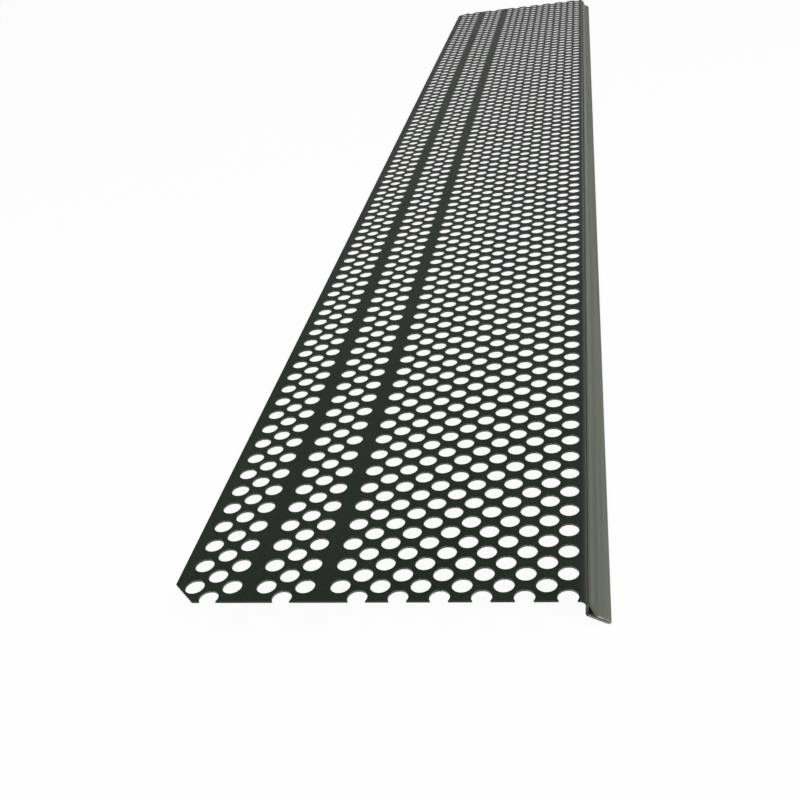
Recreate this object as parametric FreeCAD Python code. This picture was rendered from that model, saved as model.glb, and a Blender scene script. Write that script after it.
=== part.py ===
import FreeCAD, Part
import math
import os

# Perforated sheet-metal gutter guard: a flat sheet with staggered round
# holes in three bands, and a front lip that is rolled down, kicked outwards
# and hemmed back over itself, so that the hem shows the sheet's reverse side
# and its free edge leans on the roll. All sizes are in millimetres.
#
# The sheet is laid out with x across it from the rear edge, y along it from
# the near end and z up from its top face. It is moved at the end so that the
# origin lies under the middle of its outline, level with its lowest edge.

# Stock
length = 914.4
thickness = 0.7

# Hole pattern
hole_diameter = 6.35
column_step = 6.35
nominal_row_pitch = 10.2
rear_band_columns = 3
middle_band_columns = 3
front_band_columns = 12
strip_width = 5.05

# Outline of the flat: metal left outside the holes, and how far each end is
# cut past the centres of the staggered row that it opens
rear_web = 3.7
front_web = 0.15
end_past_row = 1.65
corner_clip = 8.0

# Section of the lip, along the sheet from the flat's front edge. The slopes
# are angles to the level.
roll_inside_radius = 1.75
roll_angle = 98.0
wall_run = 2.4
kick_inside_radius = 0.5
flange_slope = 28.0
flange_run = 6.2
hem_gap = 0.3
crease_inside_radius = 0.8
rise_slope = 70.0
hem_clearance = 0.15

# Sizes that follow from those above. The rows are spaced so that both ends
# are cut alike, at the whole number of rows nearest the nominal pitch.
hole_radius = hole_diameter / 2.0
row_steps = round((length - 2.0 * end_past_row) / nominal_row_pitch)
row_pitch = (length - 2.0 * end_past_row) / row_steps


def column_places():
    """Distance of each column of holes from the rear edge, and whether it is staggered."""
    places = []
    x = rear_web + hole_radius
    for count in (rear_band_columns, middle_band_columns, front_band_columns):
        for index in range(count):
            places.append((x + index * column_step, index % 2 == 1))
        x = places[-1][0] + hole_diameter + strip_width
    return places


def polygon(points):
    """Closed level outline through points given as x and y, listed anticlockwise."""
    corners = [FreeCAD.Vector(x, y, 0) for x, y in points]
    return Part.makePolygon(corners + corners[:1])


def punched_strip(columns, flat_width, overrun):
    """Flat strip with every hole punched, longer than the guard at both ends."""
    outline = polygon([
        (0, -overrun),
        (flat_width, -overrun),
        (flat_width, length + overrun),
        (0, length + overrun),
    ])
    holes = []
    for x, staggered in columns:
        first = end_past_row if staggered else end_past_row - row_pitch / 2.0
        count = row_steps + 1 if staggered else row_steps + 2
        for row in range(count):
            centre = FreeCAD.Vector(x, first + row * row_pitch, 0)
            circle = Part.Circle(centre, FreeCAD.Vector(0, 0, -1), hole_radius)
            holes.append(Part.Wire(circle.toShape()))
    return Part.Face([outline] + holes).extrude(FreeCAD.Vector(0, 0, -thickness))


def end_offcut(flat_width, overrun):
    """Waste that is sheared off past the near end, with the clip of the rear corner."""
    waste = polygon([
        (-overrun, -2.0 * overrun),
        (flat_width + overrun, -2.0 * overrun),
        (flat_width + overrun, 0),
        (corner_clip, 0),
        (-overrun, corner_clip + overrun),
    ])
    offcut = Part.Face(waste).extrude(FreeCAD.Vector(0, 0, -3.0 * thickness))
    offcut.translate(FreeCAD.Vector(0, 0, thickness))
    return offcut


def turned(point, centre, angle):
    """Point of the section turned about a centre, nose down for a positive angle."""
    rotation = FreeCAD.Rotation(FreeCAD.Vector(0, 1, 0), angle)
    return centre + rotation.multVec(point - centre)


def line(start, end):
    return Part.LineSegment(start, end).toShape()


class SheetPath:
    """Section of a bent sheet, followed along both of its faces from a starting edge."""

    def __init__(self, start):
        self.heading = 0.0
        self.top = start
        self.under = start - FreeCAD.Vector(0, 0, thickness)
        self.edges = [line(self.top, self.under)]

    def ahead(self):
        angle = math.radians(self.heading)
        return FreeCAD.Vector(math.cos(angle), 0, -math.sin(angle))

    def run(self, distance):
        """Goes straight on."""
        step = self.ahead() * distance
        self.edges.append(line(self.top, self.top + step))
        self.edges.append(line(self.under, self.under + step))
        self.top = self.top + step
        self.under = self.under + step

    def bend(self, inside_radius, angle):
        """Turns nose down for a positive angle and nose up for a negative one."""
        towards_under = (self.under - self.top).normalize()
        if angle > 0:
            centre = self.under + towards_under * inside_radius
        else:
            centre = self.top - towards_under * inside_radius
        for point in (self.top, self.under):
            halfway = turned(point, centre, angle / 2.0)
            self.edges.append(Part.Arc(point, halfway, turned(point, centre, angle)).toShape())
        self.top = turned(self.top, centre, angle)
        self.under = turned(self.under, centre, angle)
        self.heading += angle

    def face(self):
        edges = self.edges + [line(self.top, self.under)]
        return Part.Face(Part.Wire(Part.sortEdges(edges)[0]))


def lip_section(flat_width):
    """Closed section of the lip: roll, wall, kick outwards, flange, and the hem laid back over it."""
    sheet = SheetPath(FreeCAD.Vector(flat_width, 0, 0))
    roll_radius = roll_inside_radius + thickness
    roll_centre = sheet.top - FreeCAD.Vector(0, 0, roll_radius)
    sheet.bend(roll_inside_radius, roll_angle)
    sheet.run(wall_run)
    sheet.bend(kick_inside_radius, flange_slope - roll_angle)
    sheet.run(flange_run)
    sheet.bend(hem_gap / 2.0, -180.0)

    # The hem lies along the flange up to a crease, then rises steeply and
    # ends where it lies side by side with the roll, just clear of it.
    slope = math.radians(rise_slope)
    rise = FreeCAD.Vector(-math.cos(slope), 0, math.sin(slope))
    outwards = FreeCAD.Vector(math.sin(slope), 0, math.cos(slope))
    free_edge = roll_centre + outwards * (roll_radius + hem_clearance)
    along = sheet.ahead()
    to_crease = outwards.dot(free_edge - sheet.top) / outwards.dot(along)
    crease = sheet.top + along * to_crease
    crease_angle = rise_slope - flange_slope
    taken_by_bend = (crease_inside_radius + thickness) * math.tan(math.radians(crease_angle / 2.0))
    sheet.run(to_crease - taken_by_bend)
    sheet.bend(crease_inside_radius, crease_angle)
    sheet.run((free_edge - crease).dot(rise) - taken_by_bend)
    return sheet.face()


columns = column_places()
flat_width = columns[-1][0] + hole_radius + front_web
overrun = row_pitch + hole_diameter

# The strip is punched first and then cut to length, so that the cut opens
# whatever holes it runs through.
strip = punched_strip(columns, flat_width, overrun)
near_offcut = end_offcut(flat_width, overrun)
middle = FreeCAD.Vector(0, length / 2.0, 0)
far_offcut = near_offcut.mirror(middle, FreeCAD.Vector(0, 1, 0))
flat = strip.cut([near_offcut, far_offcut])
lip = lip_section(flat_width).extrude(FreeCAD.Vector(0, length, 0))
guard = flat.fuse(lip).removeSplitter()

# Origin under the middle of the outline, at the level of the lowest edge
box = guard.optimalBoundingBox(False)
guard.translate(FreeCAD.Vector(-(box.XMin + box.XMax) / 2, -(box.YMin + box.YMax) / 2, -box.ZMin))
guard = guard.Solids[0]

os.makedirs("parts", exist_ok=True)
guard.exportStep("parts/gutter_guard.step")
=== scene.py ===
import math
import bpy
import numpy as np
from mathutils import Matrix, Vector


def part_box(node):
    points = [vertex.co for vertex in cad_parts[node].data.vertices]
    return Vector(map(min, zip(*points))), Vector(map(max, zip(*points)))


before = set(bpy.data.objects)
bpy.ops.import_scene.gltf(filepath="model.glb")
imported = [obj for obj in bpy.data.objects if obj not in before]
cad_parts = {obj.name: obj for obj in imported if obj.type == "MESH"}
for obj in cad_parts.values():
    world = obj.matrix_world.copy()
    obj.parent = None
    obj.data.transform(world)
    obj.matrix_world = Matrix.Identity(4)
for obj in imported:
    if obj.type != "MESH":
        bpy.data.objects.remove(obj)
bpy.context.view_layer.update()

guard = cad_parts["gutter_guard"]
GUARD_LOW, GUARD_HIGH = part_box("gutter_guard")

# Section of the front lip, in metres: the roll at the flat's edge and the hem that rises beside it
ROLL_RADIUS = 0.00245
ROLL_TO_FRONT = 0.008747
ROLL_CENTRE_X = GUARD_HIGH[0] - ROLL_TO_FRONT
ROLL_CENTRE_Z = GUARD_HIGH[2] - ROLL_RADIUS
HEM_CLEARANCE = 0.00015
RISE_SLOPE = math.radians(70.0)

# Band on the front of the roll painted lighter, a painted highlight, measured from the roll's centre line
HIGHLIGHT_STARTS = 0.0017
HIGHLIGHT_ENDS = 0.0024

# Heights above the guard's lowest edge between which the hem turns up at its crease
CREASE_LOW = 0.0029
CREASE_HIGH = 0.0036

# Radii by which sharp edges are shaded as if rounded over
COATED_EDGE_RADIUS = 0.00018
CUT_EDGE_RADIUS = 0.00012

# Limits on a face's normal. An end points along the guard, a flat face points up or down, and the only
# painted face of the hem points back at the roll.
END_ALONG = 0.999
FLAT_UPWARDS = 0.5
HEM_BACKWARDS = 0.7

# Places of the material slots on the guard
TOP_PAINT, REVERSE_COAT, PUNCHED_EDGE, SHEARED_END = range(4)

# Floor: half its side and its drop below the guard in metres, its grey, and the share of plain white
# that is mixed into it where it is seen
FLOOR_HALF_SIDE = 60.0
FLOOR_DROP = 0.0002
FLOOR_GREY = 0.9
FLOOR_WHITE_SHARE = 0.94

# Brightness of the surroundings: a pale band above the floor's horizon, which fades to grey between
# two heights, given as the upward part of a direction
WORLD_LEVEL = 0.22
HORIZON_LEVEL = 0.95
FADE_STARTS = 0.06
FADE_ENDS = 0.26

# Soft light panels: the point that they face, and their brightness
PANEL_AIM = Vector((0.0, -0.1, 0.0))
PANEL_RADIANCE = 2.9

# Camera at the photograph's viewing angle, fitted to the grid of holes. Its place is in metres, its
# lens and sensor in millimetres.
CAMERA_PLACE = Vector((0.07028, -0.67622, 0.21279))
CAMERA_FORWARD = Vector((-0.20391, 0.83688, -0.50800))
CAMERA_UP = Vector((0.04376, 0.52617, 0.84925))
CAMERA_LENS = 44.89
CAMERA_SENSOR = 36.0


class Nodes:
    """Small helper for building a node tree in code."""

    def __init__(self, tree):
        self.tree = tree
        tree.nodes.clear()

    def add(self, kind, **values):
        node = self.tree.nodes.new(kind)
        for name, value in values.items():
            setattr(node, name, value)
        return node

    def link(self, source, target):
        self.tree.links.new(source, target)

    def calculate(self, operation, first, second):
        node = self.add("ShaderNodeMath", operation=operation)
        for socket, value in zip(node.inputs, (first, second)):
            if isinstance(value, (int, float)):
                socket.default_value = value
            else:
                self.link(value, socket)
        return node.outputs[0]

    def blend(self, first, second, share):
        """Weighted sum of two textures; share is the weight of the second."""
        kept = self.calculate("MULTIPLY", first, 1.0 - share)
        added = self.calculate("MULTIPLY", second, share)
        return self.calculate("ADD", kept, added)

    def noise(self, vector, scale, detail=3.0, roughness=0.5):
        node = self.add("ShaderNodeTexNoise")
        node.inputs["Scale"].default_value = scale
        node.inputs["Detail"].default_value = detail
        node.inputs["Roughness"].default_value = roughness
        self.link(vector, node.inputs["Vector"])
        return node.outputs["Fac"]

    def streaks(self, vector, across, along, detail=3.0):
        """Noise drawn out along the length of the guard."""
        mapping = self.add("ShaderNodeMapping")
        mapping.inputs["Scale"].default_value = (across, along, across)
        self.link(vector, mapping.inputs["Vector"])
        return self.noise(mapping.outputs["Vector"], scale=1.0, detail=detail, roughness=0.6)

    def ramp(self, factor, stops):
        """Colour that goes through the given stops, each a place on the ramp and a colour."""
        node = self.add("ShaderNodeValToRGB")
        elements = node.color_ramp.elements
        while len(elements) < len(stops):
            elements.new(0.5)
        for element, (place, colour) in zip(elements, stops):
            element.position = place
            element.color = (*colour, 1.0)
        self.link(factor, node.inputs["Fac"])
        return node.outputs["Color"]

    def step(self, value, start, end, low=0.0, high=1.0):
        """Smooth step from low to high as the value goes from start to end."""
        node = self.add("ShaderNodeMapRange", interpolation_type="SMOOTHSTEP")
        node.inputs["From Min"].default_value = start
        node.inputs["From Max"].default_value = end
        node.inputs["To Min"].default_value = low
        node.inputs["To Max"].default_value = high
        self.link(value, node.inputs["Value"])
        return node.outputs["Result"]

    def part(self, vector, axis):
        """Part of a vector along X, Y or Z."""
        split = self.add("ShaderNodeSeparateXYZ")
        self.link(vector, split.inputs["Vector"])
        return split.outputs[axis]

    def seen(self):
        """1 where the camera sees a surface, straight, mirrored or through glass, and 0 for other light."""
        path = self.add("ShaderNodeLightPath")
        straight = path.outputs["Is Camera Ray"]
        mirrored = path.outputs["Is Glossy Ray"]
        through = path.outputs["Is Transmission Ray"]
        return self.calculate("MAXIMUM", straight, self.calculate("MAXIMUM", mirrored, through))

    def mix(self, first, second, share):
        node = self.add("ShaderNodeMixRGB")
        self.link(share, node.inputs["Fac"])
        self.link(first, node.inputs["Color1"])
        self.link(second, node.inputs["Color2"])
        return node.outputs["Color"]


def grey(value):
    return (value, value, value)


def start_material(name):
    """New material with its nodes, a shader and the object's own coordinates."""
    material = bpy.data.materials.new(name)
    material.use_nodes = True
    nodes = Nodes(material.node_tree)
    output = nodes.add("ShaderNodeOutputMaterial")
    shader = nodes.add("ShaderNodeBsdfPrincipled")
    nodes.link(shader.outputs["BSDF"], output.inputs["Surface"])
    place = nodes.add("ShaderNodeTexCoord").outputs["Object"]
    return material, nodes, shader, place


def add_relief(nodes, shader, height, strength, depth, edge_radius):
    """Fine relief on the surface, with the sheet's sharp edges slightly rounded over."""
    edge = nodes.add("ShaderNodeBevel", samples=4)
    edge.inputs["Radius"].default_value = edge_radius
    bump = nodes.add("ShaderNodeBump")
    bump.inputs["Strength"].default_value = strength
    bump.inputs["Distance"].default_value = depth
    nodes.link(height, bump.inputs["Height"])
    nodes.link(edge.outputs["Normal"], bump.inputs["Normal"])
    nodes.link(bump.outputs["Normal"], shader.inputs["Normal"])


def top_paint():
    """Satin near-black paint with streaks, mottle and handling marks, and a painted highlight where the
    roll drops.
    """
    material, nodes, shader, place = start_material("top_paint")
    cloud = nodes.noise(place, scale=14.0, detail=4.0, roughness=0.55)
    streak = nodes.streaks(place, across=420.0, along=3.0)
    mottle = nodes.noise(place, scale=1300.0, detail=3.0, roughness=0.65)
    tone = nodes.blend(nodes.blend(cloud, streak, share=0.35), mottle, share=0.55)
    paint = nodes.ramp(tone, [
        (0.36, (0.0024, 0.0052, 0.0022)),
        (0.50, (0.0060, 0.0120, 0.0058)),
        (0.64, (0.0124, 0.0212, 0.0124)),
    ])
    # Painted highlight: the front of the roll is painted lighter, standing in for light that the hem's
    # shade takes away
    painted_highlight = nodes.ramp(streak, [
        (0.35, (0.080, 0.085, 0.070)),
        (0.65, (0.122, 0.127, 0.108)),
    ])
    highlight_share = nodes.step(nodes.part(place, "X"), ROLL_CENTRE_X + HIGHLIGHT_STARTS, ROLL_CENTRE_X + HIGHLIGHT_ENDS)
    nodes.link(nodes.mix(paint, painted_highlight, highlight_share), shader.inputs["Base Color"])

    handled = nodes.noise(place, scale=55.0, detail=5.0, roughness=0.65)
    satin = nodes.ramp(nodes.blend(handled, streak, share=0.4), [
        (0.30, grey(0.36)),
        (0.72, grey(0.50)),
    ])
    nodes.link(satin, shader.inputs["Roughness"])
    shader.inputs["Specular IOR Level"].default_value = 0.42

    peel = nodes.noise(place, scale=1500.0, detail=2.0)
    lines = nodes.streaks(place, across=1400.0, along=1.5, detail=2.0)
    relief = nodes.blend(peel, lines, share=0.3)
    add_relief(nodes, shader, relief, strength=0.5, depth=0.00005, edge_radius=COATED_EDGE_RADIUS)
    return material


def reverse_coat():
    """Thin olive-grey coat of the reverse side, streaked along the length, painted darker above the crease
    as painted shade.
    """
    material, nodes, shader, place = start_material("reverse_coat")
    broad = nodes.streaks(place, across=900.0, along=6.0)
    fine = nodes.streaks(place, across=4200.0, along=9.0, detail=2.0)
    tone = nodes.blend(broad, fine, share=0.4)
    coat = nodes.ramp(tone, [
        (0.32, (0.117, 0.126, 0.100)),
        (0.50, (0.142, 0.153, 0.121)),
        (0.70, (0.171, 0.183, 0.151)),
    ])
    # Painted shade: a darker copy of the coat, used on the rise of the hem above the crease
    painted_shade = nodes.ramp(tone, [
        (0.32, (0.094, 0.100, 0.079)),
        (0.50, (0.114, 0.122, 0.096)),
        (0.70, (0.137, 0.146, 0.120)),
    ])
    shade_above_crease = nodes.step(nodes.part(place, "Z"), CREASE_LOW, CREASE_HIGH)
    nodes.link(nodes.mix(coat, painted_shade, shade_above_crease), shader.inputs["Base Color"])

    patch = nodes.noise(place, scale=70.0, detail=4.0, roughness=0.6)
    dull = nodes.ramp(nodes.blend(patch, fine, share=0.4), [
        (0.30, grey(0.42)),
        (0.72, grey(0.56)),
    ])
    nodes.link(dull, shader.inputs["Roughness"])
    shader.inputs["Specular IOR Level"].default_value = 0.25

    peel = nodes.noise(place, scale=1500.0, detail=2.0)
    relief = nodes.blend(peel, fine, share=0.6)
    add_relief(nodes, shader, relief, strength=0.3, depth=0.00004, edge_radius=COATED_EDGE_RADIUS)
    return material


def cut_edge(name, paint, metal):
    """Cut edge of the sheet: dull grey metal with paint dragged over it in places."""
    material, nodes, shader, place = start_material(name)
    dragged = nodes.noise(place, scale=420.0, detail=4.0, roughness=0.6)
    colour = nodes.ramp(dragged, [
        (0.36, paint),
        (0.70, metal),
    ])
    nodes.link(colour, shader.inputs["Base Color"])
    dull = nodes.ramp(dragged, [
        (0.35, grey(0.40)),
        (0.70, grey(0.55)),
    ])
    nodes.link(dull, shader.inputs["Roughness"])
    shear = nodes.noise(place, scale=2600.0, detail=2.0)
    add_relief(nodes, shader, shear, strength=0.3, depth=0.00004, edge_radius=CUT_EDGE_RADIUS)
    return material


def punched_edge():
    """Walls of the holes, and the sheet's rear edge and clipped corners."""
    return cut_edge("punched_edge", paint=(0.050, 0.054, 0.050), metal=(0.220, 0.225, 0.216))


def sheared_end():
    """Brighter ends of the hemmed flange."""
    return cut_edge("sheared_end", paint=(0.080, 0.084, 0.080), metal=(0.560, 0.565, 0.550))


def paint_faces():
    """Gives each face of the guard its slot: painted top, reverse side or cut edge."""
    polygons = guard.data.polygons
    count = len(polygons)
    centres = np.empty(count * 3)
    normals = np.empty(count * 3)
    polygons.foreach_get("center", centres)
    polygons.foreach_get("normal", normals)
    x, _, z = centres.reshape(-1, 3).T
    across, along, upwards = normals.reshape(-1, 3).T

    # The hem lies beyond a plane at the slope of its rise, halfway across its clearance from the roll
    on_lip = x > ROLL_CENTRE_X
    forwards = (x - ROLL_CENTRE_X) * math.sin(RISE_SLOPE)
    raised = (z - ROLL_CENTRE_Z) * math.cos(RISE_SLOPE)
    on_hem = forwards + raised > ROLL_RADIUS + HEM_CLEARANCE / 2.0

    # The hem is folded back, so it shows the reverse side
    lip_reverse = np.where(on_hem, across > -HEM_BACKWARDS, across < 0.0)
    reverse = np.where(on_lip, lip_reverse, upwards < -FLAT_UPWARDS)

    # The ends are coated, all but those of the flange
    on_end = np.abs(along) > END_ALONG
    punched = ~on_lip & ~on_end & (np.abs(upwards) < FLAT_UPWARDS)
    sheared = on_lip & on_end & (z < CREASE_LOW)

    slots = np.full(count, TOP_PAINT, dtype=np.int32)
    slots[reverse] = REVERSE_COAT
    slots[punched] = PUNCHED_EDGE
    slots[sheared] = SHEARED_END
    guard.data.materials.clear()
    for make_material in (top_paint, reverse_coat, punched_edge, sheared_end):
        guard.data.materials.append(make_material())
    polygons.foreach_set("material_index", slots)


def pale_floor():
    """Plain white floor that keeps a soft shadow."""
    material = bpy.data.materials.new("pale_floor")
    material.use_nodes = True
    nodes = Nodes(material.node_tree)
    output = nodes.add("ShaderNodeOutputMaterial")
    diffuse = nodes.add("ShaderNodeBsdfDiffuse")
    diffuse.inputs["Color"].default_value = (*grey(FLOOR_GREY), 1.0)
    white = nodes.add("ShaderNodeEmission")
    white.inputs["Color"].default_value = (1.0, 1.0, 1.0, 1.0)
    white.inputs["Strength"].default_value = 1.0
    mix = nodes.add("ShaderNodeMixShader")
    nodes.link(nodes.calculate("MULTIPLY", nodes.seen(), FLOOR_WHITE_SHARE), mix.inputs["Fac"])
    nodes.link(diffuse.outputs["BSDF"], mix.inputs[1])
    nodes.link(white.outputs["Emission"], mix.inputs[2])
    nodes.link(mix.outputs["Shader"], output.inputs["Surface"])
    return material


def add_floor():
    """Wide level floor, just clear of the guard's lowest edge."""
    half = FLOOR_HALF_SIDE
    mesh = bpy.data.meshes.new("floor")
    corners = [(-half, -half, 0), (half, -half, 0), (half, half, 0), (-half, half, 0)]
    mesh.from_pydata(corners, [], [(0, 1, 2, 3)])
    mesh.materials.append(pale_floor())
    floor = bpy.data.objects.new("floor", mesh)
    floor.location.z = GUARD_LOW[2] - FLOOR_DROP
    bpy.context.scene.collection.objects.link(floor)


def add_world():
    """Even grey light, with a pale band near the horizon that shows only to the camera and in gloss."""
    world = bpy.data.worlds.new("studio")
    world.use_nodes = True
    nodes = Nodes(world.node_tree)
    output = nodes.add("ShaderNodeOutputWorld")
    background = nodes.add("ShaderNodeBackground")
    background.inputs["Color"].default_value = (1.0, 1.0, 1.0, 1.0)
    direction = nodes.add("ShaderNodeTexCoord").outputs["Generated"]
    upward = nodes.part(direction, "Z")
    paler = nodes.step(upward, FADE_STARTS, FADE_ENDS, low=HORIZON_LEVEL - WORLD_LEVEL, high=0.0)
    level = nodes.calculate("ADD", nodes.calculate("MULTIPLY", paler, nodes.seen()), WORLD_LEVEL)
    nodes.link(level, background.inputs["Strength"])
    nodes.link(background.outputs["Background"], output.inputs["Surface"])
    bpy.context.scene.world = world


def add_panel(name, place, width, height):
    """Rectangular soft light, turned to face the guard."""
    light = bpy.data.lights.new(name, "AREA")
    light.shape = "RECTANGLE"
    light.size = width
    light.size_y = height
    light.energy = PANEL_RADIANCE * math.pi * width * height
    panel = bpy.data.objects.new(name, light)
    panel.location = place
    direction = PANEL_AIM - Vector(place)
    panel.rotation_euler = direction.to_track_quat("-Z", "Y").to_euler()
    bpy.context.scene.collection.objects.link(panel)


def add_camera():
    forward = CAMERA_FORWARD.normalized()
    right = forward.cross(CAMERA_UP).normalized()
    up = right.cross(forward)
    data = bpy.data.cameras.new("camera")
    data.sensor_width = CAMERA_SENSOR
    data.lens = CAMERA_LENS
    data.clip_start = 0.01
    data.clip_end = 200.0
    camera = bpy.data.objects.new("camera", data)
    turn = Matrix((right, up, -forward)).transposed().to_4x4()
    camera.matrix_world = Matrix.Translation(CAMERA_PLACE) @ turn
    bpy.context.scene.collection.objects.link(camera)
    bpy.context.scene.camera = camera


paint_faces()
add_floor()
add_world()
add_panel("key_panel", place=(-0.5, -1.3, 1.9), width=2.0, height=1.6)
add_panel("right_panel", place=(1.2, -0.2, 1.9), width=1.6, height=1.4)
add_camera()
bpy.context.scene.view_settings.view_transform = "Standard"
